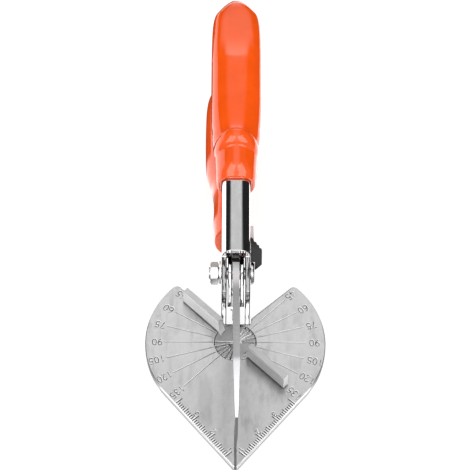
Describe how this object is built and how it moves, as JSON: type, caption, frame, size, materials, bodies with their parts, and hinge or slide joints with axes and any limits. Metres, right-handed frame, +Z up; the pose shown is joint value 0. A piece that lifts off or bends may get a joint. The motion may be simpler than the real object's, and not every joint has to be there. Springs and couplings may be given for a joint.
{
  "type": "mitre shears",
  "caption": "Hand shears with a wedge-ground blade that closes onto a heart-shaped protractor table with a turning fence, ruler edges and a thumb latch.",
  "frame": {"origin": "centre of the bounding box in plan, at the height of the surface that the shears lie on", "axes": "+Y towards the handles, +X to the left of someone who holds them with the blade pointing away from them, +Z up"},
  "size_m": [0.0714, 0.2094, 0.0742],
  "materials": {
    "chromed_steel": "polished chrome plate",
    "ground_steel": "ground plate with stamped marks",
    "fence_steel": "fine blasted steel",
    "blade_steel": "ground and honed",
    "zinc_steel": "bright zinc plate",
    "spring_steel": "oiled spring wire",
    "orange_grip": "glossy moulded vinyl",
    "black_cap": "fine moulded texture"
  },
  "bodies": {
    "table_jaw": {"upper_frame": "chromed_steel", "upper_grip": "orange_grip", "protractor_table": "ground_steel", "table_screw_front_left": "zinc_steel", "table_screw_front_right": "zinc_steel", "table_screw_rear_left": "zinc_steel", "table_screw_rear_right": "zinc_steel", "pivot_bolt": "chromed_steel", "pivot_nut": "chromed_steel", "pivot_washer": "zinc_steel", "stop_pin": "zinc_steel", "fence_washer": "zinc_steel", "latch_rivet": "zinc_steel", "spring_seat_upper": "zinc_steel", "return_spring": "spring_steel"},
    "blade_jaw": {"lower_frame": "chromed_steel", "lower_grip": "orange_grip", "blade": "blade_steel", "blade_pin": "zinc_steel", "blade_rivet": "zinc_steel", "latch_stud": "zinc_steel", "spring_seat_lower": "zinc_steel"},
    "fence_turn": {"fence": "fence_steel", "fence_screw": "zinc_steel"},
    "latch": {"latch_plate": "zinc_steel", "latch_cap": "black_cap"}
  },
  "joints": [
    {"name": "squeeze", "type": "hinge", "parent": "table_jaw", "child": "blade_jaw", "pos_m": [0, -0.02264, 0.02573], "axis": [1, 0, 0], "range_deg": [0, 12.5], "stiffness_Nm_per_rad": 1.5, "springref_deg": -20.05, "deforming": ["return_spring"]},
    {"name": "fence_swing", "type": "hinge", "parent": "table_jaw", "child": "fence_turn", "pos_m": [0, -0.04674, 0.01176], "axis": [0, -0.1574, 0.9875], "range_deg": [0, 90]},
    {"name": "latch_swing", "type": "hinge", "parent": "table_jaw", "child": "latch", "pos_m": [0, -0.01531, 0.03054], "axis": [1, 0, 0], "range_deg": [-13, 0]}
  ]
}
